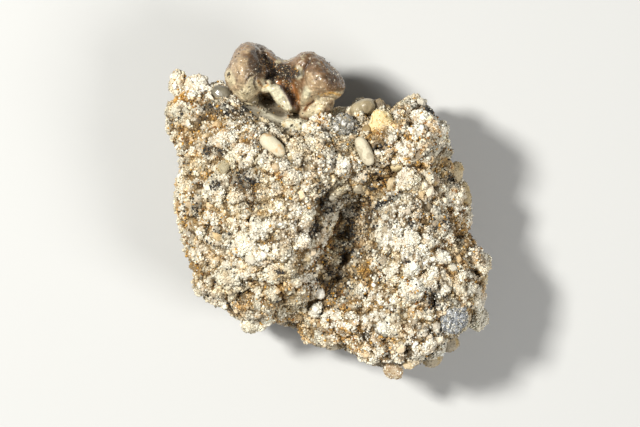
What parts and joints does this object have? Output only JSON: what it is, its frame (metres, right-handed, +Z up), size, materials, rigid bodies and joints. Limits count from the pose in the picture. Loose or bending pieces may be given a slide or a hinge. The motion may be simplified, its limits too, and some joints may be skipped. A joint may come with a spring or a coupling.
{
  "type": "fossil ruminant tooth in rock matrix",
  "caption": "Fossil cheek tooth of a ruminant, two glossy brown lobes, standing out of the end of a two-lobed block of gritty cream rock.",
  "frame": {"origin": "middle of the specimen seen from above, on the surface that it rests on", "axes": "+Z up, out of the face that shows; +Y towards the end with the tooth; +X to the right when looked down on with the tooth at the top"},
  "size_m": [0.0355, 0.0368, 0.0214],
  "materials": {
    "matrix": "gritty, matt, ochre stained",
    "tooth": "glossy enamel, mauve brown",
    "oval_pebble": "smooth, matt",
    "smooth_grey_pebble": "smooth, slightly glossy",
    "long_pale_pebble": "speckled, matt",
    "yellow_clast": "matt",
    "speckled_dark_clast": "speckled, satin",
    "glassy_top_clast": "translucent, slightly glossy",
    "blue_grey_clast": "glassy",
    "tip_pebble": "translucent, slightly glossy"
  },
  "bodies": {
    "root": {"matrix": "matrix", "tooth": "tooth", "oval_pebble": "oval_pebble", "smooth_grey_pebble": "smooth_grey_pebble", "long_pale_pebble": "long_pale_pebble", "yellow_clast": "yellow_clast", "speckled_dark_clast": "speckled_dark_clast", "glassy_top_clast": "glassy_top_clast", "blue_grey_clast": "blue_grey_clast", "tip_pebble": "tip_pebble"}
  },
  "joints": []
}
